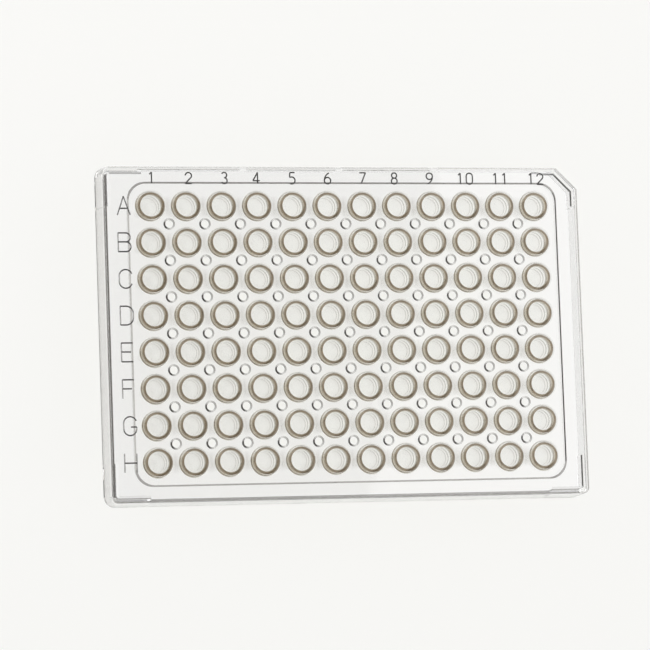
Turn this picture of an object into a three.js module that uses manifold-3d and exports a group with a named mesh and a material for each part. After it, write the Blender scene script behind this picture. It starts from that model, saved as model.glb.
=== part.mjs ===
// A clear, semi-skirted well plate of the low-profile kind used in thermal cyclers: 12 columns by
// 8 rows of conical tubes hang from one flat deck, and a short skirt runs round the deck's edge.
// It is one moulding, so it is one solid. Millimetres, +Z up, column 12 at +X and row A at +Y.
// The origin is on the plate's centre, at the level of the tube tips that it stands on.
import * as THREE from "three";
import { mergeVertices } from "three/addons/utils/BufferGeometryUtils.js";
import Module from "manifold-3d";

// The well grid.
const columns = 12;
const rows = 8;
const wellPitch = 9;

// One well, from the top down: a raised rim, a straight collar, then a cone down to the tip.
const wellBore = 5.46;
const wellDepth = 14.8;
const collarDepth = 4.2;
const rimHeight = 0.4;
const rimWall = 0.9; // width of the rim's flat top
const rimFlank = 0.6; // how far the rim's side slopes out down to the deck
const tubeWall = 0.4;
const tipWidth = 2.2;
const tipFloor = 0.7;

// The deck: a thin border, and a thicker pad under the wells.
const deckThickness = 1.1;
const endMargin = 11.7; // from the axes of columns 1 and 12 to the deck's ends
const sideMargin = 9.7; // from the axes of rows A and H to the deck's sides
const padThickness = 1.1;
const padMargin = 5.7; // from the outer well axes to the pad's edge
const padCorner = 4.5;

// The skirt, which flares out towards its foot and is thicker near the corners.
const skirtDepth = 7.4; // below the deck's top
const skirtWall = 1;
const cornerWall = 1.4;
const cornerReach = 9.7; // how far the thicker wall runs from each end of a side
const skirtFlare = 0.7;
const deckCorner = 1.5;
const footCorner = 2.7;
const keyCut = 5.4; // leg of the corner cut off beside well A12

// Small openings.
const ventBore = 2.5; // through the deck, between every four wells
const notches = 3; // in the foot of the row A side
const notchWidth = 1.8;
const notchHeight = 2.4;

// Facets of the round forms, and how far a cut runs past the face it opens.
const wellSides = 8;
const ventSides = 6;
const cornerSteps = 2;
const past = 0.5;

// Levels, worked up from the tips.
const rimTop = tipFloor + wellDepth;
const deckTop = rimTop - rimHeight;
const deckUnderside = deckTop - deckThickness;
const padUnderside = deckUnderside - padThickness;
const collarFoot = rimTop - collarDepth;
const skirtFoot = deckTop - skirtDepth;
const deckMiddle = (deckTop + deckUnderside) / 2;

// Extents of the well axes and of the deck, from the centre.
const axisX = ((columns - 1) * wellPitch) / 2;
const axisY = ((rows - 1) * wellPitch) / 2;
const deckX = axisX + endMargin;
const deckY = axisY + sideMargin;

const wasm = await Module();
wasm.setup();

// A closed three.js geometry as a manifold-3d solid.
function solid(geometry) {
  const bare = geometry.clone();
  bare.deleteAttribute("normal");
  bare.deleteAttribute("uv");
  const merged = mergeVertices(bare, 1e-4);
  return new wasm.Manifold(
    new wasm.Mesh({
      numProp: 3,
      vertProperties: merged.attributes.position.array,
      triVerts: new Uint32Array(merged.index.array),
    }),
  );
}

// The inverse: a manifold-3d solid as a flat-shaded three.js geometry.
function geometryOf(shape) {
  const mesh = shape.getMesh();
  const geometry = new THREE.BufferGeometry();
  geometry.setAttribute("position", new THREE.BufferAttribute(mesh.vertProperties, 3));
  geometry.setIndex(new THREE.BufferAttribute(mesh.triVerts, 1));
  const flat = geometry.toNonIndexed();
  flat.computeVertexNormals();
  return flat;
}

// A circle's radius widened so that its polygon encloses the same area as the circle.
function polygonRadius(radius, sides) {
  const step = (2 * Math.PI) / sides;
  return radius * Math.sqrt(step / Math.sin(step));
}

// A solid of revolution about Z from [radius, z] points listed upwards, with flats facing X and Y.
function turned(profile, sides) {
  const points = profile.map(([r, z]) => new THREE.Vector2(polygonRadius(r, sides), z));
  const geometry = new THREE.LatheGeometry(points, sides, Math.PI / sides);
  return solid(geometry.rotateX(Math.PI / 2));
}

// A rectangle with round corners, or sharp ones where the radius is 0, as a list of points.
// The corner at +X +Y is cut off straight instead where cut is given.
function outline(halfX, halfY, radius, cut = 0) {
  const corners = [
    [-1, -1, Math.PI],
    [1, -1, 1.5 * Math.PI],
    [1, 1, 0],
    [-1, 1, 0.5 * Math.PI],
  ];
  const steps = radius > 0 ? cornerSteps : 0;
  const points = [];
  corners.forEach(([signX, signY, start]) => {
    if (cut && signX > 0 && signY > 0) {
      points.push(new THREE.Vector2(halfX, halfY - cut), new THREE.Vector2(halfX - cut, halfY));
      return;
    }
    for (let i = 0; i <= steps; i += 1) {
      const angle = start + (steps ? (0.5 * Math.PI * i) / steps : 0.25 * Math.PI);
      const x = signX * (halfX - radius) + radius * Math.cos(angle);
      const y = signY * (halfY - radius) + radius * Math.sin(angle);
      points.push(new THREE.Vector2(x, y));
    }
  });
  return points;
}

// A closed solid between two outlines of as many points, the lower at z0 and the upper at z1.
function loft(lower, upper, z0, z1) {
  const count = lower.length;
  const positions = [...lower.map((p) => [p.x, p.y, z0]), ...upper.map((p) => [p.x, p.y, z1])];
  const faces = [];
  THREE.ShapeUtils.triangulateShape(upper, []).forEach(([a, b, c]) => {
    faces.push(a + count, b + count, c + count);
    faces.push(c, b, a);
  });
  for (let i = 0; i < count; i += 1) {
    const j = (i + 1) % count;
    faces.push(i, j, j + count);
    faces.push(i, j + count, i + count);
  }
  const geometry = new THREE.BufferGeometry();
  geometry.setAttribute("position", new THREE.Float32BufferAttribute(positions.flat(), 3));
  geometry.setIndex(faces);
  return solid(geometry);
}

function box(sizeX, sizeY, z0, z1) {
  return solid(new THREE.BoxGeometry(sizeX, sizeY, z1 - z0).translate(0, 0, (z0 + z1) / 2));
}

// Copies of one solid at every point of a centred grid, as one solid.
function grid(shape, countX, countY) {
  const copies = [];
  for (let i = 0; i < countX; i += 1) {
    for (let j = 0; j < countY; j += 1) {
      const x = (i - (countX - 1) / 2) * wellPitch;
      const y = (j - (countY - 1) / 2) * wellPitch;
      copies.push(shape.translate([x, y, 0]));
    }
  }
  return wasm.Manifold.union(copies);
}

// The block that the skirt's outer faces enclose or, given a wall, that its inner faces enclose.
// Set in by a wall, the cut corner's face stays parallel to the outer one.
function skirtBlock(wall, z0, z1) {
  const cut = keyCut - wall * (2 - Math.SQRT2);
  const ringAt = (z) => {
    const down = (deckTop - z) / skirtDepth;
    const out = skirtFlare * down - wall;
    const radius = wall ? 0 : deckCorner + (footCorner - deckCorner) * down;
    return outline(deckX + out, deckY + out, radius, cut);
  };
  return loft(ringAt(z0), ringAt(z1), z0, z1);
}

// The deck and the skirt below its edge, open underneath.
function tray() {
  const hollow = skirtBlock(cornerWall, skirtFoot - past, deckUnderside);
  const wideX = 2 * (deckX - cornerReach);
  const wideY = 2 * (deckY - cornerReach);
  const all = 4 * (deckX + deckY);
  const stretches = box(wideX, all, 0, rimTop).add(box(all, wideY, 0, rimTop));
  const thinner = skirtBlock(skirtWall, skirtFoot - past, deckUnderside).intersect(stretches);
  return skirtBlock(0, skirtFoot, deckTop).subtract(hollow).subtract(thinner);
}

// The thicker part of the deck under the wells, taken up into the deck so that they join.
function pad() {
  const edge = outline(axisX + padMargin, axisY + padMargin, padCorner);
  return loft(edge, edge, padUnderside, deckMiddle);
}

function wellRims() {
  const radius = wellBore / 2 + rimWall;
  const rim = [
    [0, deckMiddle],
    [radius + rimFlank, deckMiddle],
    [radius + rimFlank, deckTop],
    [radius, rimTop],
    [0, rimTop],
  ];
  return grid(turned(rim, wellSides), columns, rows);
}

// The tubes' outsides: one straight taper through the collar's foot, from the deck to the tip.
function tubes() {
  const tip = tipWidth / 2;
  const collar = wellBore / 2 + tubeWall;
  const slope = (collar - tip) / collarFoot;
  const tube = [
    [0, 0],
    [tip, 0],
    [tip + slope * deckMiddle, deckMiddle],
    [0, deckMiddle],
  ];
  return grid(turned(tube, wellSides), columns, rows);
}

// What the wells hold: a straight collar over a cone.
function cavities() {
  const bore = wellBore / 2;
  const cavity = [
    [0, tipFloor],
    [bore, collarFoot],
    [bore, rimTop + past],
    [0, rimTop + past],
  ];
  return grid(turned(cavity, wellSides), columns, rows);
}

function vents() {
  const radius = ventBore / 2;
  const vent = [
    [0, padUnderside - past],
    [radius, padUnderside - past],
    [radius, deckTop + past],
    [0, deckTop + past],
  ];
  return grid(turned(vent, ventSides), columns - 1, rows - 1);
}

// Notches cut up from the foot of the row A side, which share out the length of the well field.
function footNotches() {
  const reach = skirtFlare + cornerWall;
  const slot = box(notchWidth, 2 * reach, skirtFoot - past, skirtFoot + notchHeight);
  const copies = [];
  for (let i = 1; i <= notches; i += 1) {
    const x = -axisX + (2 * axisX * i) / (notches + 1);
    copies.push(slot.translate([x, deckY, 0]));
  }
  return wasm.Manifold.union(copies);
}

function plateSolid() {
  const body = wasm.Manifold.union([tray(), pad(), wellRims(), tubes()]);
  return body.subtract(wasm.Manifold.union([cavities(), vents(), footNotches()]));
}

const clearPlastic = new THREE.MeshStandardMaterial({
  color: 0xe6e6e2,
  roughness: 0.08,
  metalness: 0,
  transparent: true,
  opacity: 0.45,
});

const plate = new THREE.Mesh(geometryOf(plateSolid()), clearPlastic);
plate.name = "plate";

const wellPlate = new THREE.Group();
wellPlate.add(plate);

export default wellPlate;
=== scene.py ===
"""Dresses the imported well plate: its clear moulding, its moulded lettering and the stage."""

import math

import bpy
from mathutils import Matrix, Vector


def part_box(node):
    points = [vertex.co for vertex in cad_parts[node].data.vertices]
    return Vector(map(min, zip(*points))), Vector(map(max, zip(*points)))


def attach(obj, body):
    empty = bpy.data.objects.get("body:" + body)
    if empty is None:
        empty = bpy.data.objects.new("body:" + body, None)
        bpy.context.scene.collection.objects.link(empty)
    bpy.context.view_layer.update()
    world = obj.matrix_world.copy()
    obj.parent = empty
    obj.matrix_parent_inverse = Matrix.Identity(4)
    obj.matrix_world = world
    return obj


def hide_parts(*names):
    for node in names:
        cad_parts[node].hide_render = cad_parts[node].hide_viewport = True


bl_info = {
    "name": "Well Plate",
    "version": (1, 0, 0),
    "blender": (4, 5, 0),
    "location": "3D View > Sidebar > Well Plate",
    "description": "Builds a clear, semi-skirted well plate with conical tubes and moulded lettering",
    "category": "Add Mesh",
}

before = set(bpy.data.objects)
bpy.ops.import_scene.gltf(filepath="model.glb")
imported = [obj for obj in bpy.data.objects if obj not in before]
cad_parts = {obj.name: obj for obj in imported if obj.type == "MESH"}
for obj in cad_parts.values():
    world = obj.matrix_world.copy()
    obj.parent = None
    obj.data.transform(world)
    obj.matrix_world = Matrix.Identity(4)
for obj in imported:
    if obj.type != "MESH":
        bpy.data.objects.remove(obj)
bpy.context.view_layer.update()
_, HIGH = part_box("plate")
FOOT_X = HIGH.x  # half the plate's length, at the skirt's foot
FOOT_Y = HIGH.y  # and half its width
RIM_TOP = HIGH.z  # the height of the rims, above the tips of the tubes

MM = 0.001
QUARTER = math.pi / 2


def length(name, description, default):
    """A length property. The default is in millimetres, and Blender keeps it in metres."""
    return bpy.props.FloatProperty(
        name=name, description=description, default=default * MM, min=0.0, unit="LENGTH", precision=5
    )


def position(name, description, default):
    """A place along an axis, which may be negative, given like a length."""
    return bpy.props.FloatProperty(
        name=name, description=description, default=default * MM, unit="LENGTH", precision=5
    )


def colour(name, description, default):
    """A colour property, as red, green and blue."""
    return bpy.props.FloatVectorProperty(
        name=name, description=description, default=default, size=3, min=0.0, max=1.0, subtype="COLOR"
    )


class WellSizes(bpy.types.PropertyGroup):
    """Sizes of the wells, their tubes and rims, and the vents between them"""

    columns: bpy.props.IntProperty(
        name="Columns", description="Wells along the plate", default=12, min=1, max=12
    )
    rows: bpy.props.IntProperty(name="Rows", description="Wells across the plate", default=8, min=1, max=8)
    pitch: length("Pitch", "Distance between the axes of two neighbouring wells", 9.0)
    bore: length("Bore", "Inner diameter of a well at its mouth", 5.3)
    depth: length("Depth", "From the rim down to the inside of the tip", 14.8)
    collar: length("Collar depth", "How far the straight upper part reaches down", 4.2)
    draft: length("Draft", "How much a well's collar narrows from its mouth to its foot", 0.22)
    rim_height: length("Rim height", "How far a rim stands above the deck", 0.4)
    rim_wall: length("Rim width", "Width of the flat on top of a rim", 0.85)
    rim_flank: length("Rim flank", "How far a rim's side slopes out to the deck", 0.7)
    wall: length("Collar wall", "Wall of a tube beside its collar", 0.4)
    tip_wall: length("Tip wall", "Wall of a tube near its tip", 0.32)
    tip_bore: length("Tip bore", "Inner diameter where the cone meets the round bottom", 2.2)
    vent: length("Vent", "Diameter of the holes between the wells", 1.96)
    vent_lip: length("Vent lip", "Width of the slope round the top of a vent", 0.5)


class DeckSizes(bpy.types.PropertyGroup):
    """Sizes of the deck, the pad under the wells and the skirt"""

    thickness: length("Deck", "Thickness of the deck's border", 1.1)
    pad: length("Pad", "Extra thickness under the wells", 1.1)
    pad_margin: length("Pad margin", "From the outer well axes to the pad's edge", 5.7)
    pad_corner: length("Pad corner", "Corner radius of the pad", 4.5)
    step_slope: length("Step slope", "How far the step at the pad's edge slopes out", 0.42)
    skirt: length("Skirt depth", "From the deck's top down to the skirt's foot", 7.4)
    flare: length("Skirt flare", "How far the skirt leans out over its depth", 0.7)
    wall: length("Skirt wall", "Thickness of the skirt along the sides", 1.0)
    chamfer: length("Chamfer", "Height of the chamfer inside the skirt's foot", 0.3)
    fold: length("Fold", "Radius of the thicker corners' inner edge under the deck", 0.5)
    step: length("Step", "How far the middle of the deck stands above its border", 0.1)
    corner_wall: length("Corner wall", "Thickness of the skirt near the corners", 1.4)
    corner_reach: length("Corner reach", "How far the thicker wall runs from a corner", 9.7)
    deck_corner: length("Deck corner", "Corner radius at the deck", 1.5)
    foot_corner: length("Foot corner", "Corner radius at the skirt's foot", 2.7)
    key: length("Key cut", "Leg of the corner cut off beside the last well of the first row", 5.4)
    notches: bpy.props.IntProperty(
        name="Notches", description="Notches in the foot beside the first row", default=3, min=1
    )
    notch: length("Notch width", "Width of the notches in the skirt's foot", 1.8)
    notch_height: length("Notch height", "Height of the notches", 2.4)


class LetteringSizes(bpy.types.PropertyGroup):
    """Sizes and places of the row letters and the column numbers"""

    stroke: length("Stroke", "Width of a moulded stroke", 0.34)
    letter: length("Letter height", "Height of the row letters", 4.6)
    numeral: length("Numeral height", "Height of the column numbers", 2.8)
    letters_left: position("Letters' left", "Where the row letters start, along the plate", -57.9)
    numerals_base: position("Numbers' base", "Where the column numbers stand, across the plate", 37.0)


class Finish(bpy.types.PropertyGroup):
    """Tints of the clear plastic, part by part, many of them painted shade, and the colours of the lettering
    and the floor
    """

    clear: colour("Clear plastic", "Tint of the clear plastic, seen through one wall", (0.99, 0.99, 1.0))
    # painted shade between two wells of a row, and deep in the wells towards the letters
    painted_shade: colour("Haze", "Tint between two wells of a row, and in cloudy tubes", (0.62, 0.605, 0.59))
    tube: colour("Tube plastic", "Tint of the tubes", (0.94, 0.942, 0.935))
    collar_tint: colour("Collar", "Tint of the collars", (0.93, 0.925, 0.91))
    seam: colour("Collar's ends", "Tint where a collar starts and ends", (0.6, 0.585, 0.56))
    # partly the rim plastic's own tan and partly painted shade
    rim_tan_deep_shade: colour("Rim", "Tint of a rim where its plastic is thickest", (0.052, 0.028, 0.011))
    rim_tan_light_shade: colour("Thin rim", "Tint of a rim where its plastic is thinnest", (0.2, 0.15, 0.092))
    # painted tan shade on a rim's flank towards the letters
    rim_flank_shade: colour("Rim's foot", "Tint of a rim's flank on the side of the letters", (0.4, 0.345, 0.255))
    flank: colour("Flank", "Tint of the rest of a rim's flank", (0.88, 0.877, 0.865))
    lip_tint: colour("Lip tint", "Tint of a bore just under its rim", (0.42, 0.365, 0.28))
    lip: length("Lip", "How far the tint of a rim reaches down its bore", 1.2)
    # painted tan shade where a tube leaves the pad
    root_shade: colour("Root tint", "Tint where a tube leaves the pad", (0.22, 0.185, 0.135))
    root: length("Root", "Diameter of the tint where a tube leaves the pad", 7.2)
    skirt: colour("Skirt", "Tint of the skirt's walls", (0.82, 0.82, 0.815))
    # painted shade on the skirt beside the letters
    skirt_shade: colour("Shaded skirt", "Tint of the skirt beside the letters", (0.75, 0.745, 0.74))
    # painted shade on the skirt's foot, darkest beside the letters, then beside the last row
    foot_shade_west: colour(
        "Foot by the letters", "Tint of the skirt's foot beside the letters", (0.03, 0.027, 0.025)
    )
    foot_shade_south: colour(
        "Foot by the last row", "Tint of the skirt's foot beside the last row", (0.2, 0.195, 0.19)
    )
    foot_shade_rest: colour("Foot", "Tint of the rest of the skirt's foot", (0.85, 0.85, 0.84))
    # painted shade on the brim, the folds, the chamfer, the steps and the vent lips, darker on the sides that
    # face one way
    brim_shade_dark: colour(
        "Brim", "Tint of the deck's rounded outer edge beside the last column", (0.3, 0.29, 0.28)
    )
    brim_shade_light: colour(
        "Light brim", "Tint of the deck's rounded outer edge on the other sides", (0.93, 0.93, 0.925)
    )
    fold_shade: colour(
        "Folds", "Tint of the thicker corners' inner edges beside the key cut", (0.01, 0.009, 0.008)
    )
    chamfer_shade: colour(
        "Chamfer", "Tint of the chamfer inside the foot beside the letters", (0.25, 0.24, 0.23)
    )
    vent_shade_light: colour("Vent mouths", "Lightest tint of the slopes round the vents", (0.8, 0.79, 0.78))
    step_shade_dark: colour(
        "Steps", "Tint of the steps and vent lips that face the last column", (0.003, 0.002, 0.002)
    )
    step_shade_light: colour(
        "Light steps", "Tint of the steps and vent lips that face the other way", (0.6, 0.575, 0.555)
    )
    # painted shade of the clear moulded strokes
    lettering_shade: colour("Lettering", "Colour of the moulded lettering", (0.022, 0.018, 0.016))
    floor: colour("Floor", "Colour of the floor", (0.968, 0.965, 0.943))


class WellPlateSettings(bpy.types.PropertyGroup):
    """Everything about the plate that a user would change"""

    wells: bpy.props.PointerProperty(type=WellSizes)
    deck: bpy.props.PointerProperty(type=DeckSizes)
    lettering: bpy.props.PointerProperty(type=LetteringSizes)
    finish: bpy.props.PointerProperty(type=Finish)


def settings():
    return bpy.context.scene.well_plate


def deck_top():
    """The height of the deck's upper side, which the rims stand on."""
    return RIM_TOP - settings().wells.rim_height


# ---------------------------------------------------------------- modelling helpers


def deselect():
    if bpy.context.object and bpy.context.object.mode != "OBJECT":
        bpy.ops.object.mode_set(mode="OBJECT")
    bpy.ops.object.select_all(action="DESELECT")


def pick(obj):
    """Selects this object alone and makes it active."""
    deselect()
    obj.select_set(True)
    bpy.context.view_layer.objects.active = obj


def edit(mode="VERT"):
    bpy.ops.object.mode_set(mode="EDIT")
    bpy.ops.mesh.select_mode(type=mode)


def leave():
    bpy.ops.object.mode_set(mode="OBJECT")


def select_where(obj, domain, test):
    """In edit mode, selects only the vertices that pass the test, or the edges both of whose ends do."""
    bpy.ops.mesh.select_mode(type={"vertices": "VERT", "edges": "EDGE"}[domain])
    bpy.ops.mesh.select_all(action="DESELECT")
    bpy.ops.object.mode_set(mode="OBJECT")
    mesh = obj.data
    points = [vertex.co.copy() for vertex in mesh.vertices]
    for item in getattr(mesh, domain):
        corners = [item.co] if domain == "vertices" else [points[i] for i in item.vertices]
        item.select = all(test(corner) for corner in corners)
    bpy.ops.object.mode_set(mode="EDIT")


def at_height(z):
    """A test for points at this height, to within a thousandth of a millimetre."""
    return lambda point: abs(point.z - z) < 0.001 * MM


def named(name):
    """Names the active object and its mesh."""
    obj = bpy.context.object
    obj.name = name
    obj.data.name = name
    return obj


def block(name, top, foot, z_top, z_foot, steps=6):
    """A closed block between two rounded rectangles, each given as (half x, half y, radius, key cut)."""
    deselect()
    bpy.ops.mesh.primitive_plane_add(size=2)
    obj = named(name)
    edit()
    bpy.ops.mesh.delete(type="VERT")
    for (half_x, half_y, radius, key), z in ((top, z_top), (foot, z_foot)):
        bpy.ops.mesh.primitive_plane_add(size=2)
        bpy.ops.transform.resize(value=(half_x, half_y, 1), center_override=(0, 0, 0))
        bpy.ops.transform.translate(value=(0, 0, z))
        level = at_height(z)
        if key:
            select_where(obj, "vertices", lambda p: level(p) and p.x > 0 and p.y > 0)
            bpy.ops.mesh.bevel(offset=key, segments=1, affect="VERTICES")
        if radius:
            rest = (lambda p: level(p) and (p.x < 0 or p.y < 0)) if key else level
            select_where(obj, "vertices", rest)
            bpy.ops.mesh.bevel(offset=radius, segments=steps, affect="VERTICES")
    bpy.ops.mesh.select_all(action="SELECT")
    bpy.ops.mesh.delete(type="ONLY_FACE")
    bpy.ops.mesh.select_mode(type="EDGE")
    bpy.ops.mesh.select_all(action="SELECT")
    bpy.ops.mesh.bridge_edge_loops()
    bpy.ops.mesh.select_all(action="SELECT")
    bpy.ops.mesh.fill_holes(sides=0)
    bpy.ops.mesh.select_all(action="SELECT")
    bpy.ops.mesh.normals_make_consistent(inside=False)
    leave()
    return obj


def soften(obj, z, radius, segments=3, material=-1):
    """Rounds every edge that lies at this height, in the faces' own material or another of the object's."""
    pick(obj)
    edit()
    select_where(obj, "edges", at_height(z))
    bpy.ops.mesh.bevel(
        offset=radius, segments=segments, affect="EDGES", clamp_overlap=False, material=material
    )
    leave()
    return obj


def turned(name, profile, sides):
    """A solid of revolution about Z, drawn by extruding a circle along its (radius, z) profile."""
    deselect()
    radius, z = profile[0]
    bpy.ops.mesh.primitive_circle_add(vertices=sides, radius=radius, fill_type="NGON")
    obj = named(name)
    edit("EDGE")
    bpy.ops.mesh.select_all(action="SELECT")
    bpy.ops.transform.translate(value=(0, 0, z))
    for next_radius, next_z in profile[1:]:
        bpy.ops.mesh.extrude_edges_move(TRANSFORM_OT_translate={"value": (0, 0, next_z - z)})
        share = next_radius / radius
        bpy.ops.transform.resize(value=(share, share, 1), center_override=(0, 0, 0))
        radius, z = next_radius, next_z
    bpy.ops.mesh.edge_face_add()
    bpy.ops.mesh.select_all(action="SELECT")
    bpy.ops.mesh.normals_make_consistent(inside=False)
    leave()
    return obj


def arc(centre_r, centre_z, radius, start, end, steps):
    """(radius, z) points on an arc, with angles in degrees from +R towards +Z."""
    angles = [math.radians(start + (end - start) * i / steps) for i in range(steps + 1)]
    return [(centre_r + radius * math.cos(a), centre_z + radius * math.sin(a)) for a in angles]


def apply(obj, kind, **values):
    """Adds a modifier with these settings and applies it."""
    pick(obj)
    modifier = obj.modifiers.new(kind.title(), kind)
    for key, value in values.items():
        setattr(modifier, key, value)
    bpy.ops.object.modifier_apply(modifier=modifier.name)
    return obj


def combine(target, tool, operation):
    """Joins, cuts or overlaps the target with the tool, whose faces keep their own plastic."""
    apply(target, "BOOLEAN", operation=operation, solver="MANIFOLD", object=tool, material_mode="TRANSFER")
    bpy.data.objects.remove(tool)
    return target


def cut(target, tool):
    return combine(target, tool, "DIFFERENCE")


def join(target, tool):
    return combine(target, tool, "UNION")


def overlap(target, tool):
    return combine(target, tool, "INTERSECT")


def repeat(obj, columns, rows, pitch):
    """Repeats a piece over a grid that is centred on the plate."""
    pick(obj)
    obj.location = (-(columns - 1) * pitch / 2, -(rows - 1) * pitch / 2, 0)
    bpy.ops.object.transform_apply(location=True, rotation=False, scale=False)
    common = dict(use_relative_offset=False, use_constant_offset=True)
    apply(obj, "ARRAY", count=columns, constant_offset_displace=(pitch, 0, 0), **common)
    apply(obj, "ARRAY", count=rows, constant_offset_displace=(0, pitch, 0), **common)
    return obj


def brick(name, size, centre):
    """A plain box of this size round its centre."""
    deselect()
    bpy.ops.mesh.primitive_cube_add(size=1, location=centre, scale=size)
    bpy.ops.object.transform_apply(location=True, rotation=False, scale=True)
    return named(name)


def smooth(obj, angle):
    """Smooth shading below this angle, with the large flat faces kept flat."""
    pick(obj)
    bpy.ops.object.shade_smooth_by_angle(angle=math.radians(angle))
    return apply(obj, "WEIGHTED_NORMAL", keep_sharp=True, weight=100)


def paint(obj, *materials):
    """Gives a piece these materials and no others. Its faces start in the first."""
    obj.data.materials.clear()
    for material in materials:
        obj.data.materials.append(material)
    return obj


def second_coat(obj, test):
    """Gives the faces whose normal passes the test the piece's second material, and the rest its first."""
    for face in obj.data.polygons:
        face.material_index = 1 if test(face.normal) else 0
    return obj


def faces_down(normal):
    return normal.z < -0.9


def finish_piece(obj):
    """Makes the piece move with the root, and hides the imported plate."""
    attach(obj, "root")
    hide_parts("plate")
    return obj


# ---------------------------------------------------------------- shader maths


class Socket:
    """Wraps a node socket, so that shader maths reads as Python expressions."""

    def __init__(self, tree, socket):
        self.tree = tree
        self.socket = socket

    def maths(self, operation, other, swap=False):
        node = self.tree.node("ShaderNodeMath", {"operation": operation})
        pair = (other, self) if swap else (self, other)
        for socket, value in zip(node.inputs, pair):
            self.tree.feed(socket, value)
        return Socket(self.tree, node.outputs[0])

    def __add__(self, other):
        return self.maths("ADD", other)

    __radd__ = __add__

    def __sub__(self, other):
        return self.maths("SUBTRACT", other)

    def __rsub__(self, other):
        return self.maths("SUBTRACT", other, swap=True)

    def __mul__(self, other):
        return self.maths("MULTIPLY", other)

    __rmul__ = __mul__

    def __truediv__(self, other):
        return self.maths("DIVIDE", other)

    def __pow__(self, other):
        return self.maths("POWER", other)

    def __neg__(self):
        return self.maths("MULTIPLY", -1.0)

    def __gt__(self, other):
        return self.maths("GREATER_THAN", other)

    def __lt__(self, other):
        return self.maths("LESS_THAN", other)

    def __abs__(self):
        return self.maths("ABSOLUTE", 0.0)

    def at_most(self, other):
        return self.maths("MINIMUM", other)

    def at_least(self, other):
        return self.maths("MAXIMUM", other)

    def clamped(self):
        return self.at_least(0.0).at_most(1.0)

    def fraction(self):
        return self.maths("FRACT", 0.0)


class Tree:
    """A material's or world's node tree, emptied and ready for new nodes."""

    def __init__(self, owner):
        owner.use_nodes = True
        self.tree = owner.node_tree
        self.tree.nodes.clear()

    def feed(self, socket, value):
        if isinstance(value, Socket):
            self.tree.links.new(value.socket, socket)
        elif isinstance(value, bpy.types.NodeSocket):
            self.tree.links.new(value, socket)
        else:
            socket.default_value = value

    def node(self, kind, options=None, **inputs):
        """Makes a node: first its settings, then the values or links of its sockets."""
        made = self.tree.nodes.new(kind)
        for key, value in (options or {}).items():
            setattr(made, key, value)
        for key, value in inputs.items():
            self.feed(made.inputs[key.replace("_", " ")], value)
        return made

    def out(self, kind, output, options=None, **inputs):
        return Socket(self, self.node(kind, options, **inputs).outputs[output])

    def place(self):
        """The point's own place on the plate: its whole vector, then X, Y and Z."""
        vector = self.out("ShaderNodeTexCoord", "Object")
        parts = self.node("ShaderNodeSeparateXYZ", Vector=vector)
        return [vector] + [Socket(self, parts.outputs[axis]) for axis in "XYZ"]

    def blend(self, factor, first, second):
        """A colour between two others."""
        mix = self.node("ShaderNodeMix", {"data_type": "RGBA"})
        for socket, value in zip((mix.inputs[0], mix.inputs[6], mix.inputs[7]), (factor, first, second)):
            self.feed(socket, value)
        return Socket(self, mix.outputs[2])

    def ramp(self, factor, stops):
        """A colour ramp through (position, colour) stops."""
        made = self.node("ShaderNodeValToRGB", Fac=factor)
        bands = made.color_ramp.elements
        while len(bands) < len(stops):
            bands.new(1.0)
        for band, (at, tone) in zip(bands, stops):
            band.position = at
            band.color = rgba(tone)
        return Socket(self, made.outputs["Color"])


def rgba(rgb):
    """A colour with full alpha, as node sockets take it."""
    return (rgb[0], rgb[1], rgb[2], 1.0)


def plastic(name, tint, lets_light, roughness=0.02, ior=1.5, gloss=0.0):
    """Clear plastic. Its tint is a colour, or a function that makes one from the material's tree and place.

    Lamps shine through it as through a pane, so its shadow on the floor stays light.
    """
    material = bpy.data.materials.new(name)
    tree = Tree(material)
    place = tree.place()
    flow = tree.out("ShaderNodeTexNoise", "Fac", Vector=place[0], Scale=60.0, Detail=3.0)
    skin = tree.node("ShaderNodeBump", Strength=0.02, Distance=0.0002, Height=flow)
    body = tree.node(
        "ShaderNodeBsdfPrincipled",
        Base_Color=tint(tree, *place) if callable(tint) else rgba(tint),
        Roughness=(flow - 0.5) * 0.02 + roughness,  # a trace of flow in the gloss
        Normal=skin.outputs["Normal"],
    )
    body.inputs["IOR"].default_value = ior
    body.inputs["Transmission Weight"].default_value = 1.0
    body.inputs["Coat Weight"].default_value = gloss
    pane = tree.node("ShaderNodeBsdfTransparent", Color=rgba(lets_light))
    path = tree.node("ShaderNodeLightPath")
    shadow, diffuse = (Socket(tree, path.outputs[ray]) for ray in ("Is Shadow Ray", "Is Diffuse Ray"))
    mix = tree.node("ShaderNodeMixShader")
    for socket, value in zip(mix.inputs, (shadow.at_least(diffuse), body.outputs[0], pane.outputs[0])):
        tree.feed(socket, value)
    tree.node("ShaderNodeOutputMaterial", Surface=mix.outputs[0])
    return material


# ---------------------------------------------------------------- tints, most of them painted shade


def rise(value, start, width):
    """Goes from 0 at the start to 1 a width past it."""
    return ((value - start) / width).clamped()


def fall(value, end, width):
    """Goes from 1 a width before the end to 0 at the end."""
    return ((end - value) / width).clamped()


def from_well(x, y):
    """A point's place across and along from the axis of its own well, and its distance from that axis."""
    wells = settings().wells
    across = ((x / wells.pitch + 0.5 * (wells.columns % 2)).fraction() - 0.5) * wells.pitch
    along = ((y / wells.pitch + 0.5 * (wells.rows % 2)).fraction() - 0.5) * wells.pitch
    return across, along, (across * across + along * along) ** 0.5


def half_field():
    """Half the length and half the width of the field of wells, out to half a pitch past the outer axes."""
    wells = settings().wells
    return wells.columns * wells.pitch / 2, wells.rows * wells.pitch / 2


# A rim's tint goes by the distance from its well's axis, and its stops are shares of this radius.
RING = 5 * MM
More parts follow.
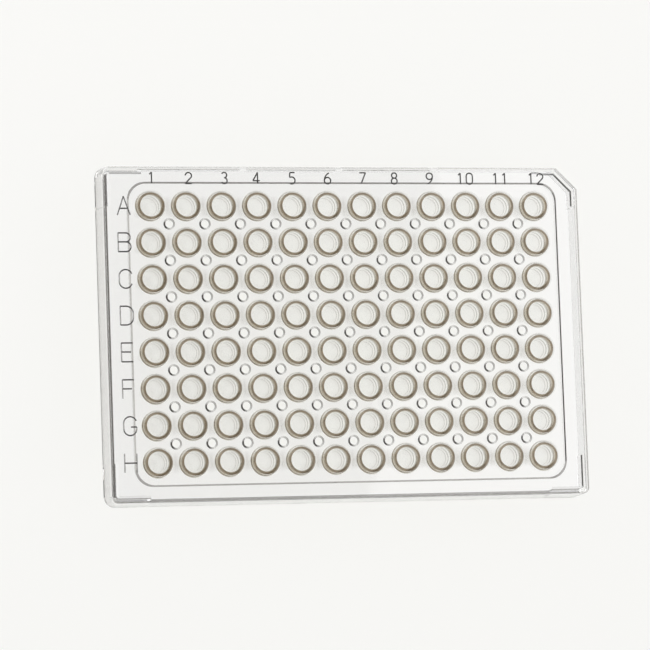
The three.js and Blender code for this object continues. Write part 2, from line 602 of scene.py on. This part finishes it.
# Painted shade: the ring's west and east halves put their darkest band at different radii.
RING_WEST = (
    (0.53, "rim_tan_deep_shade"), (0.60, "rim_tan_deep_shade"), (0.67, "rim_tan_light_shade"), (0.68, "rim_tan_light_shade"), (0.70, "flank")
)
RING_EAST = (
    (0.53, "rim_tan_light_shade"), (0.57, "rim_tan_light_shade"), (0.62, "rim_tan_deep_shade"), (0.668, "rim_tan_deep_shade"), (0.69, "flank")
)
FLAT_END = 0.69
FLANK_START, FLANK_END = 0.66, 0.84


def rim_tint(tree, place, x, y, z):
    """Tan where a tube's wall stands on end under the flat of its rim, with faint streaks of flow.

    The tan is partly the plastic's own colour and partly painted shade: the west and east halves put their
    darkest band at different radii.
    Painted light makes the ring lighter towards the first row and towards the last well.
    Its flank carries a painted tan shade towards the letters.
    """
    finish = settings().finish
    across, along, radius = from_well(x, y)
    flow = tree.out("ShaderNodeTexNoise", "Fac", Vector=place, Scale=420.0, Detail=4.0, Roughness=0.6) - 0.5
    wander, lean, painted_light = 0.012, 0.035, 0.6
    north = (along / radius - 0.2).at_least(0.0)
    reach = radius / RING + flow * wander + north * lean
    west, east = (
        tree.ramp(reach, [(at, getattr(finish, tint)) for at, tint in stops])
        for stops in (RING_WEST, RING_EAST)
    )
    # The two halves of a ring meet in a ragged border.
    weld = (across / radius * 0.6 + 0.5 + flow * 0.5).clamped()
    ring = tree.blend(weld, west, east)
    turn = ((across - along) / radius - 0.9).at_least(0.0)
    flat = fall(reach, FLAT_END, 0.02)
    # painted light towards the first row and towards the last well
    ring = tree.blend((north * painted_light + turn * painted_light) * flat, ring, rgba(finish.rim_tan_light_shade))
    # painted tan shade on the flank towards the letters
    away = (-1.1 * across - 0.5 * along) / radius
    band = rise(reach, FLANK_START, 0.02) * fall(reach, FLANK_END, 0.07)
    return tree.blend(away.clamped() * band, ring, rgba(finish.rim_flank_shade))


def pad_tint(tree, place, x, y, z):
    """Clear, with a painted tan shade at the root of each tube on the underside, lighter towards the first
    row, and a faint painted shade between neighbours in a row.
    """
    wells, finish = settings().wells, settings().finish
    across, along, radius = from_well(x, y)
    cloud = tree.out("ShaderNodeTexNoise", "Fac", Vector=place, Scale=260.0, Detail=2.0)
    root_edge, root_painted_light, between_shade_reach = 0.25 * MM, 0.4, 0.3 * wells.pitch
    root = ((finish.root / 2 - radius) / root_edge + (cloud - 0.5)).clamped()
    away = (abs(along) / between_shade_reach).at_most(1.0)
    inner = abs(x) < (wells.columns - 1) * wells.pitch / 2
    # painted shade between two neighbours in a row
    between = (abs(across) / (0.5 * wells.pitch)) ** 3 * (1.0 - away * away) * inner
    dimmed = tree.blend(between.at_most(1.0), rgba(finish.clear), rgba(finish.painted_shade))
    half_x, half_y = half_field()
    field = (abs(x) < half_x) * (abs(y) < half_y)
    # painted light: the root's shade fades on the side towards the first row
    lit = (along / radius).at_least(0.0) * root_painted_light
    return tree.blend(root * field * (1.0 - lit), dimmed, rgba(finish.root_shade))


def tube_tint(tree, place, x, y, z):
    """Nearly clear down the tube and hazier along the collar, with a tan lip just under the rim.

    A random cloudy tone dims it, with painted shade added on the sides that face the first row, the last row
    and the last column.
    The painted shade grows a little towards the letters and the last row, and deep in the wells towards the
    letters.
    """
    wells, deck, finish = settings().wells, settings().deck, settings().finish
    depth = (RIM_TOP - z) / wells.depth
    pad = (wells.rim_height + deck.thickness + deck.pad) / wells.depth
    collar = wells.collar / wells.depth
    band = finish.lip / wells.depth
    line = 0.01  # a third of a seam's width, and like the places below a share of the well's depth
    cone, dim_cone, west_shade_reach = 0.55, 0.6, 0.3
    pale, tan, dimmed, seam = finish.tube, finish.lip_tint, finish.collar_tint, finish.seam
    stops = [
        (0.3 * band, tan),
        (1.1 * band, pale),
        (pad - 2 * line, pale),
        (pad - line, seam),
        (pad + 2 * line, seam),
        (pad + 4 * line, dimmed),
        (collar - line, dimmed),
        (collar, seam),
        (collar + 2 * line, seam),
        (collar + 4 * line, dimmed),
        (cone, pale),
    ]
    # how far the random cloud and the painted shade dim the tints
    cloudy, cloudy_cone = 0.86, 0.97
    dimmer = [(at, [cloudy * part for part in tint]) for at, tint in stops[:-1]]
    dimmer.append((dim_cone, [cloudy_cone * part for part in pale]))
    across, along, radius = from_well(x, y)
    half_x, half_y = half_field()
    east, north = x / half_x, y / half_y
    # Painted shade on the sides that face the first row, the last row and the last column, on top of the
    # random cloud.
    side_shade = abs(along) * 0.55 + across * (east * 0.08 + 0.13)
    cloud = tree.out("ShaderNodeTexNoise", "Fac", Vector=place, Scale=700.0, Detail=3.0, Roughness=0.6)
    # painted shade that grows towards the letters and the last row
    shade_drift = east * 0.35 + north * 0.22
    shade = ((cloud - 0.37) + side_shade / radius - shade_drift).clamped()
    tinted = tree.blend(shade, tree.ramp(depth, stops), tree.ramp(depth, dimmer))
    # painted shade deep in the wells towards the letters
    west_shade = (-east).at_least(0.0) * rise(depth, cone, west_shade_reach) * cloud * 0.55
    return tree.blend(west_shade, tinted, rgba(finish.painted_shade))


def skirt_tint(tree, place, x, y, z):
    """Clear on the deck, and a little greyer down the skirt, whose walls are seen along their length, with
    painted shade on the side beside the letters.
    """
    deck, finish = settings().deck, settings().finish
    shade_reach, shade_blur, deck_blur = 2.5 * MM, 0.5 * MM, 0.6 * MM
    west = rise(-x, FOOT_X - shade_reach, shade_blur)
    side = tree.blend(west, rgba(finish.skirt), rgba(finish.skirt_shade))
    below = fall(z, deck_top() - deck.thickness, deck_blur)
    return tree.blend(below, rgba(finish.clear), side)


def foot_shade_tint(tree, place, x, y, z):
    """Painted shade on the skirt's foot: darkest beside the letters, then beside the last row, and nearly
    clear on the other two sides.
    """
    finish = settings().finish
    inside, blur = settings().deck.wall + 0.1 * MM, 0.2 * MM
    west, south = rise(-x, FOOT_X - inside, blur), rise(-y, FOOT_Y - inside, blur)
    shaded = tree.blend(south, rgba(finish.foot_shade_rest), rgba(finish.foot_shade_south))
    return tree.blend(west, shaded, rgba(finish.foot_shade_west))


def side_shade_tint(light, dark, across, along, middle, both=0.0):
    """A painted shade for narrow slopes that goes from light to dark with the side they face.

    It is the middle share of dark on a level face. It gets darker by across towards the last column, by along
    towards the first row, and by both towards the last column and the letters alike. A face that is seen
    from inside the plastic counts as turned round.
    """

    def tint(tree, place, x, y, z):
        tiny, slant = 0.0001, 0.4
        facing = tree.node("ShaderNodeSeparateXYZ", Vector=tree.out("ShaderNodeTexCoord", "Normal"))
        east, north = Socket(tree, facing.outputs["X"]), Socket(tree, facing.outputs["Y"])
        size = (east * east + north * north + tiny) ** 0.5
        share = (east * across + abs(east + north * slant) * both + north * along) / size + middle
        return tree.blend(share.clamped(), rgba(light), rgba(dark))

    return tint


# ---------------------------------------------------------------- the plate


# Roundings, slopes and overlaps that stay the same whatever the sizes.
BRIM_ROUND = 0.45 * MM
FOOT_ROUND = 0.3 * MM
PAD_ROUND = 0.15 * MM
RIM_ROUND = 0.15 * MM
LIP_ROUND = 0.12 * MM
VENT_SLOPE = 0.06 * MM
LEAST_CORNER = 0.6 * MM  # radius behind the skirt's corners
BELOW_FOOT = 0.3 * MM  # how far a tool reaches past the skirt's foot
OVERLAP = 0.5 * MM  # how far a tool reaches past the rims and the pad's underside
WELL_SIDES = 36
VENT_SIDES = 20
PAD_STEPS = 10  # segments round a corner of the pad
SMOOTH_BELOW = 30  # degrees between two faces that shade as one


def skirt_ring(wall, z):
    """The skirt's outline at a height, this far behind its outer faces, as block takes it."""
    deck = settings().deck
    down = deck_top() - z
    out = deck.flare * down / deck.skirt - wall
    radius = deck.deck_corner + (deck.foot_corner - deck.deck_corner) * down / deck.skirt
    key = deck.key - wall * (2 - math.sqrt(2))
    return (FOOT_X - deck.flare + out, FOOT_Y - deck.flare + out, max(radius - wall, LEAST_CORNER), key)


def hollow_block(name, wall, plastics):
    """The space behind the skirt for one thickness of wall, with the small chamfer at the wall's foot."""
    deck = settings().deck
    underside = deck_top() - deck.thickness
    foot = underside + deck.thickness - deck.skirt
    low = foot - BELOW_FOOT
    body = block(name, skirt_ring(wall, underside), skirt_ring(wall, low), underside, low)
    paint(body, plastics["clear"], plastics["fold"])
    if wall > deck.wall:
        soften(body, underside, deck.fold, material=1)
    start = foot + deck.chamfer
    wider = skirt_ring(wall - deck.chamfer - BELOW_FOOT, low)
    chamfer = block("chamfer", skirt_ring(wall, start), wider, start, low)
    return join(body, paint(chamfer, plastics["chamfer"]))


def foot_notches(foot, plastic):
    """The notches in the skirt's foot beside the first row, which share out the length of the wells."""
    wells, deck = settings().wells, settings().deck
    through = 2 * (deck.flare + deck.corner_wall)
    size = (deck.notch, through, deck.notch_height + BELOW_FOOT)
    height = foot + (deck.notch_height - BELOW_FOOT) / 2
    span = (wells.columns - 1) * wells.pitch
    notches = None
    for index in range(1, deck.notches + 1):
        x = (index / (deck.notches + 1) - 0.5) * span
        notch = paint(brick("notch", size, (x, FOOT_Y - deck.flare, height)), plastic)
        notches = join(notches, notch) if notches else notch
    return notches


def tray(plastics):
    """The deck and skirt, open underneath, with the thicker walls near the corners."""
    deck = settings().deck
    top = deck_top()
    foot = top - deck.skirt
    body = block("plate_clear", skirt_ring(0.0, top), skirt_ring(0.0, foot), top, foot)
    paint(body, plastics["clear"], plastics["foot"], plastics["brim"])
    second_coat(body, faces_down)
    soften(body, top, BRIM_ROUND, material=2)
    soften(body, foot, FOOT_ROUND, material=1)
    hollow = hollow_block("hollow", deck.corner_wall, plastics)
    thinner = hollow_block("thinner", deck.wall, plastics)
    wide_x = 2 * (FOOT_X - deck.flare - deck.corner_reach)
    wide_y = 2 * (FOOT_Y - deck.flare - deck.corner_reach)
    far = 4 * FOOT_X
    stretch = paint(brick("stretch", (wide_x, far, far), (0, 0, 0)), plastics["clear"])
    join(stretch, paint(brick("across", (far, wide_y, far), (0, 0, 0)), plastics["clear"]))
    join(hollow, overlap(thinner, stretch))
    join(hollow, foot_notches(foot, plastics["vent"]))
    return cut(body, hollow)


def rim_profile(deck_middle):
    """Half of one rim, from inside the deck up its sloping flank to the middle of its top."""
    wells = settings().wells
    flat = wells.bore / 2 + wells.rim_wall
    foot = flat + wells.rim_flank
    shoulder = arc(flat - RIM_ROUND, RIM_TOP - RIM_ROUND, RIM_ROUND, 35, 90, 2)
    return [(foot, deck_middle), (foot, deck_top()), *shoulder, (0.2 * MM, RIM_TOP)]


def tube_profile(deck_middle):
    """Half the outside of one tube, from its rounded tip up into the deck."""
    wells = settings().wells
    floor = RIM_TOP - wells.depth
    tip = wells.tip_bore / 2 + wells.tip_wall
    collar_z = RIM_TOP - wells.collar
    collar = wells.bore / 2 + wells.wall
    flat, shoulder = 0.64 * tip, 0.87 * tip
    bottom = [(flat, 0.0), (shoulder, 0.2 * MM), (tip, floor + 0.35 * MM)]
    return bottom + [(collar, collar_z), (collar + 0.02 * MM, deck_middle)]


def cavity_profile():
    """Half the space in one well, from the middle of its round bottom up past the rim."""
    wells = settings().wells
    floor = RIM_TOP - wells.depth
    tip = wells.tip_bore / 2
    bore = wells.bore / 2
    collar_z = RIM_TOP - wells.collar
    bottom = arc(0.0, floor + tip, tip, -78, -8, 4)
    narrow = bore - wells.draft
    # The collar turns softly into the cone.
    collar_foot = [(narrow - 0.1 * MM, collar_z - 0.5 * MM), (narrow, collar_z)]
    mouth = arc(bore + LIP_ROUND, RIM_TOP - LIP_ROUND, LIP_ROUND, 180, 90, 2)
    return bottom + collar_foot + mouth + [(bore + 2 * LIP_ROUND, RIM_TOP + OVERLAP)]


def vent_profile(pad_underside, step_top):
    """Half of one vent, from below the pad up to the slope round its mouth."""
    wells = settings().wells
    radius = wells.vent / 2
    wide = radius + 2 * wells.vent_lip
    return [(radius, pad_underside - OVERLAP), (radius, step_top - VENT_SLOPE), (wide, step_top + VENT_SLOPE)]


def build_plate(plastics):
    """The whole moulding as one closed mesh, each part of it in its own plastic."""
    wells, deck = settings().wells, settings().deck
    top = deck_top()
    middle = top - deck.thickness / 2
    underside = top - deck.thickness - deck.pad
    pad_x = (wells.columns - 1) * wells.pitch / 2 + deck.pad_margin
    pad_y = (wells.rows - 1) * wells.pitch / 2 + deck.pad_margin
    body = tray(plastics)

    outline = (pad_x, pad_y, deck.pad_corner, 0.0)
    pad = block("pad", outline, outline, middle, underside, PAD_STEPS)
    paint(pad, plastics["vent"], plastics["below"])
    second_coat(pad, faces_down)
    join(body, soften(pad, underside, PAD_ROUND))

    reach = deck.step_slope / 2  # only the upper half of the slope stands above the deck
    inner = (pad_x - reach, pad_y - reach, deck.pad_corner, 0.0)
    outer = (pad_x + 3 * reach, pad_y + 3 * reach, deck.pad_corner, 0.0)
    plateau = block("plateau", inner, outer, top + deck.step, top - deck.step, PAD_STEPS)
    paint(plateau, plastics["clear"], plastics["step"])
    join(body, second_coat(plateau, lambda normal: normal.z < 0.99))  # all but its level top

    for fit, name, profile, part in (
        (join, "rims", rim_profile(middle), "rim"),
        (join, "tubes", tube_profile(middle), "tube"),
        (cut, "cavities", cavity_profile(), "tube"),
    ):
        tool = paint(turned(name, profile, WELL_SIDES), plastics[part])
        fit(body, repeat(tool, wells.columns, wells.rows, wells.pitch))
    vents = turned("vents", vent_profile(underside, top + deck.step), VENT_SIDES)
    paint(vents, plastics["vent"], plastics["mouth"])
    second_coat(vents, lambda normal: normal.z < -0.1)  # the slopes of the mouths, and the end below the pad
    cut(body, repeat(vents, wells.columns - 1, wells.rows - 1, wells.pitch))
    return smooth(body, SMOOTH_BELOW)


def moulding_plastics():
    """Every plastic of the moulding, by the part of it that it is on."""
    finish = settings().finish
    lets_light = (0.995, 0.995, 0.993)
    straight = {"roughness": 0.0, "ior": 1.001}  # a pane so thin that nothing behind it shifts
    pane = {**straight, "gloss": 1.0}
    # painted shade on narrow slopes, darker or lighter by the side each one faces
    brim = side_shade_tint(finish.brim_shade_light, finish.brim_shade_dark, across=0.5, along=-0.2, middle=0.45)
    fold = side_shade_tint(finish.clear, finish.fold_shade, across=0.5, along=0.25, middle=0.5)
    chamfer = side_shade_tint(finish.clear, finish.chamfer_shade, across=-0.6, along=0.0, middle=0.3)
    step = side_shade_tint(finish.step_shade_light, finish.step_shade_dark, across=0.7, along=0.2, middle=0.7)
    mouth = side_shade_tint(finish.vent_shade_light, finish.step_shade_dark, across=0.22, along=0.06, middle=0.16, both=0.8)
    return {
        "clear": plastic("clear_plastic", skirt_tint, lets_light),
        "foot": plastic("skirt_foot", foot_shade_tint, lets_light),
        "brim": plastic("brim", brim, lets_light),
        "fold": plastic("folds", fold, lets_light, **straight),
        "chamfer": plastic("chamfer", chamfer, lets_light),
        "step": plastic("steps", step, lets_light),
        "mouth": plastic("vent_mouths", mouth, lets_light),
        "vent": plastic("vent_walls", finish.clear, lets_light, **pane),
        "below": plastic("pad_plastic", pad_tint, lets_light),
        "rim": plastic("rim_plastic", rim_tint, (0.96, 0.95, 0.93)),
        "tube": plastic("tube_plastic", tube_tint, (0.992, 0.992, 0.988), **pane),
    }


# ---------------------------------------------------------------- the lettering


# Each stroke starts at an x, a y and a heading in degrees. It then goes ahead by a number or round a bend of
# (radius, turn). All lengths are shares of the character's height, and a turn to the left is positive.
STROKES = {
    "A": [(0, 0, 70.7, 1.06), (0.7, 0, 109.3, 1.06), (0.13, 0.36, 0, 0.44)],
    "B": [(0, 0, 90, 1), (0, 1, 0, 0.42, (0.24, -180), 0.42), (0, 0.52, 0, 0.43, (0.26, -180), 0.43)],
    "C": [(0.68, 0.77, 110, (0.35, 160), 0.3, (0.35, 160))],
    "D": [(0, 0, 90, 1), (0, 1, 0, 0.32, (0.38, -90), 0.24, (0.38, -90), 0.32)],
    "E": [(0, 0, 90, 1), (0, 1, 0, 0.62), (0, 0.52, 0, 0.52), (0, 0, 0, 0.62)],
    "F": [(0, 0, 90, 1), (0, 1, 0, 0.62), (0, 0.52, 0, 0.5)],
    "G": [(0.68, 0.77, 110, (0.35, 160), 0.3, (0.35, 180), 0.1), (0.7, 0.45, 180, 0.3)],
    "H": [(0, 0, 90, 1), (0.66, 0, 90, 1), (0, 0.5, 0, 0.66)],
    "0": [(0, 0.29, 90, 0.42, (0.29, -180), 0.42, (0.29, -176))],
    "1": [(0.3, 0, 90, 1), (0.3, 1, 225, 0.26)],
    "2": [(0.02, 0.72, 85, (0.28, -210)), (0.53, 0.54, -134.5, 0.755), (0, 0, 0, 0.58)],
    "3": [(0.07, 0.88, 60, (0.24, -240)), (0.28, 0.52, 0, (0.26, -240))],
    "4": [(0.42, 1, -120, 0.84), (0, 0.27, 0, 0.6), (0.42, 0, 90, 1)],
    "5": [(0.52, 1, 180, 0.42), (0.1, 1, -95, 0.42), (0.07, 0.55, 35, (0.31, -250))],
    "6": [(0, 0.29, -90, (0.29, 352)), (0, 0.29, 90, (0.75, -65))],
    "7": [(0, 1, 0, 0.56), (0.56, 1, -113, 1.09)],
    "8": [(0.29, 0.53, 0, (0.235, 352)), (0.29, 0.53, 180, (0.265, 352))],
    "9": [(0.58, 0.71, 90, (0.29, 352)), (0.58, 0.71, -90, (0.75, -65))],
}
# The middles of the column numbers along the plate, in millimetres, not quite over their columns.
NUMERAL_PLACES = (-49.1, -39.8, -30.7, -22.6, -13.4, -4.3, 4.8, 13.0, 22.2, 31.5, 40.8, 50.2)
DIGIT_STEP = 2.4 * MM  # from one digit to the next
HALF_DIGIT = 0.29  # half a digit's width, as a share of its height
STROKE_SIDES = 8
BEND_STEP = 15  # degrees from one section of a bend to the next


def write(character, x, y, z, height, thickness):
    """Adds one character to the mesh in edit mode: each stroke's round end is extruded and spun along it."""
    for start_x, start_y, heading, *moves in STROKES[character]:
        at = Vector((x + start_x * height, y + start_y * height, z))
        angle = math.radians(heading)
        bpy.ops.mesh.primitive_circle_add(
            vertices=STROKE_SIDES,
            radius=thickness / 2,
            fill_type="NGON",
            location=at,
            rotation=(QUARTER, 0, angle + QUARTER),
        )
        for move in moves:
            if isinstance(move, tuple):
                radius, turn = move[0] * height, math.radians(move[1])
                side = math.copysign(1, turn)
                centre = at + side * radius * Vector((-math.sin(angle), math.cos(angle), 0))
                steps = max(3, round(abs(move[1]) / BEND_STEP))
                bpy.ops.mesh.spin(
                    steps=steps, angle=-turn, center=centre, axis=(0, 0, 1), use_auto_merge=False
                )
                angle += turn
                at = centre + side * radius * Vector((math.sin(angle), -math.cos(angle), 0))
            else:
                step = move * height * Vector((math.cos(angle), math.sin(angle), 0))
                bpy.ops.mesh.extrude_region_move(TRANSFORM_OT_translate={"value": step})
                at = at + step


def build_lettering():
    """Row letters along the left of the deck and column numbers along its top."""
    wells, sizes = settings().wells, settings().lettering
    top = deck_top()
    deselect()
    bpy.ops.mesh.primitive_plane_add(size=1)
    obj = named("lettering")
    edit()
    bpy.ops.mesh.delete(type="VERT")
    for row in range(wells.rows):
        middle = ((wells.rows - 1) / 2 - row) * wells.pitch
        letter = "ABCDEFGH"[row]
        write(letter, sizes.letters_left, middle - sizes.letter / 2, top, sizes.letter, sizes.stroke)
    for column, centre in enumerate(NUMERAL_PLACES[: wells.columns]):
        text = str(column + 1)
        left = centre * MM - (len(text) - 1) * DIGIT_STEP / 2 - HALF_DIGIT * sizes.numeral
        for index, digit in enumerate(text):
            write(digit, left + index * DIGIT_STEP, sizes.numerals_base, top, sizes.numeral, sizes.stroke)
    bpy.ops.mesh.select_all(action="SELECT")
    bpy.ops.mesh.normals_make_consistent(inside=False)
    leave()
    return obj


def lettering_plastic():
    """Clear moulded strokes given painted shade: dark where their sides face the first or last row, and
    lighter where they face sideways.
    """
    material = bpy.data.materials.new("lettering_plastic")
    tree = Tree(material)
    facing = tree.node("ShaderNodeSeparateXYZ", Vector=tree.out("ShaderNodeTexCoord", "Normal"))
    across = abs(Socket(tree, facing.outputs["X"]))
    along = abs(Socket(tree, facing.outputs["Y"]))
    share = along / (across + along + 0.001)
    place = tree.place()
    number = place[2] > settings().lettering.numerals_base - 0.5 * MM
    grain = tree.out("ShaderNodeTexNoise", "Fac", Vector=place[0], Scale=900.0, Detail=3.0)
    # how much painted shade a stroke gets, and how much more for the sides facing the rows
    least, side_shade_weight, for_numbers, speckle = 0.36, 0.66, 0.55, 0.25
    alpha = least + share * side_shade_weight + number * for_numbers + (grain - 0.5) * speckle
    body = tree.node(
        "ShaderNodeBsdfPrincipled",
        Base_Color=rgba(settings().finish.lettering_shade),
        Roughness=0.35 + grain * 0.1,
        Alpha=alpha.clamped(),
    )
    tree.node("ShaderNodeOutputMaterial", Surface=body.outputs[0])
    return material


# ---------------------------------------------------------------- the operators


class WELLPLATE_OT_plate(bpy.types.Operator):
    """Builds the clear moulding: deck, pad, skirt, rims, tubes and vents"""

    bl_idname = "wellplate.plate"
    bl_label = "Plate"

    def execute(self, context):
        finish_piece(build_plate(moulding_plastics()))
        return {"FINISHED"}


class WELLPLATE_OT_lettering(bpy.types.Operator):
    """Adds the moulded row letters and column numbers"""

    bl_idname = "wellplate.lettering"
    bl_label = "Lettering"

    def execute(self, context):
        letters = paint(build_lettering(), lettering_plastic())
        finish_piece(letters)
        return {"FINISHED"}


class WELLPLATE_OT_stage(bpy.types.Operator):
    """Adds the camera, the pale floor, the lamps and the surroundings"""

    bl_idname = "wellplate.stage"
    bl_label = "Stage"

    def execute(self, context):
        self.camera(context.scene)
        self.floor()
        self.lamps()
        self.surroundings(context.scene)
        context.scene.view_settings.view_transform = "Standard"
        cycles = context.scene.cycles  # enough bounces for light to cross the skirt, the deck and two tubes
        cycles.transmission_bounces = 24
        cycles.glossy_bounces = 12
        cycles.max_bounces = 32
        cycles.transparent_max_bounces = 32
        return {"FINISHED"}

    def camera(self, scene):
        """A long lens above the plate, a little to the left of its middle and towards the last row."""
        deselect()
        place = (-0.2431, -0.0841, 0.8600)
        tilt = [math.radians(a) for a in (6.159, -15.447, -2.123)]
        bpy.ops.object.camera_add(location=place, rotation=tilt)
        camera = bpy.context.object
        camera.name = "camera"
        camera.data.lens = 197.5
        camera.data.clip_end = 20
        scene.camera = camera

    def floor(self):
        """The pale floor, far wider than the camera sees."""
        deselect()
        bpy.ops.mesh.primitive_plane_add(size=6)
        floor = named("floor")
        material = bpy.data.materials.new("floor")
        tree = Tree(material)
        body = tree.node("ShaderNodeBsdfPrincipled", Base_Color=rgba(settings().finish.floor), Roughness=0.6)
        body.inputs["Specular IOR Level"].default_value = 0.2
        tree.node("ShaderNodeOutputMaterial", Surface=body.outputs[0])
        floor.data.materials.append(material)

    def lamps(self):
        """Two soft lamps that look at the middle of the plate."""
        for name, place, size, power in (
            ("key", (-0.5, 0.7, 1.3), 0.9, 5.9),
            ("fill", (0.8, -0.2, 1.2), 1.0, 2.8),
        ):
            deselect()
            turn = (-Vector(place)).to_track_quat("-Z", "Y").to_euler()
            bpy.ops.object.light_add(type="AREA", radius=size, location=place, rotation=turn)
            lamp = bpy.context.object
            lamp.name = name
            lamp.data.energy = power
            lamp.data.size = size

    def surroundings(self, scene):
        """White all round, and dimmer overhead for all that the camera doesn't see directly."""
        world = bpy.data.worlds.new("surroundings")
        scene.world = world
        tree = Tree(world)
        path = tree.node("ShaderNodeLightPath")
        seen = tree.node("ShaderNodeBackground", Color=(1, 1, 1, 1), Strength=1.0)
        split = tree.node("ShaderNodeSeparateXYZ", Vector=tree.out("ShaderNodeTexCoord", "Generated"))
        up = Socket(tree, split.outputs["Z"])
        dim_above, falloff, least = 0.6, 2.2, 0.15
        level = (1.0 - (up - dim_above).at_least(0.0) * falloff).at_least(least)
        light = tree.node("ShaderNodeBackground", Color=(1, 1, 1, 1), Strength=level)
        mix = tree.node("ShaderNodeMixShader")
        tree.feed(mix.inputs[0], path.outputs["Is Camera Ray"])
        tree.feed(mix.inputs[1], light.outputs[0])
        tree.feed(mix.inputs[2], seen.outputs[0])
        tree.node("ShaderNodeOutputWorld", Surface=mix.outputs[0])


class WELLPLATE_PT_panel(bpy.types.Panel):
    """Lists the plate's operators and sizes"""

    bl_idname = "WELLPLATE_PT_panel"
    bl_label = "Well Plate"
    bl_space_type = "VIEW_3D"
    bl_region_type = "UI"
    bl_category = "Well Plate"

    def draw(self, context):
        for operator in OPERATORS:
            self.layout.operator(operator.bl_idname)
        for part in WellPlateSettings.__annotations__:
            group = getattr(context.scene.well_plate, part)
            box = self.layout.box()
            box.label(text=part.title())
            for name in type(group).__annotations__:
                box.prop(group, name)


OPERATORS = (WELLPLATE_OT_stage, WELLPLATE_OT_plate, WELLPLATE_OT_lettering)
GROUPS = (WellSizes, DeckSizes, LetteringSizes, Finish, WellPlateSettings)
CLASSES = GROUPS + OPERATORS + (WELLPLATE_PT_panel,)


def register():
    for cls in CLASSES:
        bpy.utils.register_class(cls)
    bpy.types.Scene.well_plate = bpy.props.PointerProperty(type=WellPlateSettings)


def unregister():
    del bpy.types.Scene.well_plate
    for cls in reversed(CLASSES):
        bpy.utils.unregister_class(cls)


def main():
    register()
    bpy.ops.wellplate.stage()
    bpy.ops.wellplate.plate()
    bpy.ops.wellplate.lettering()


if __name__ == "__main__":
    main()
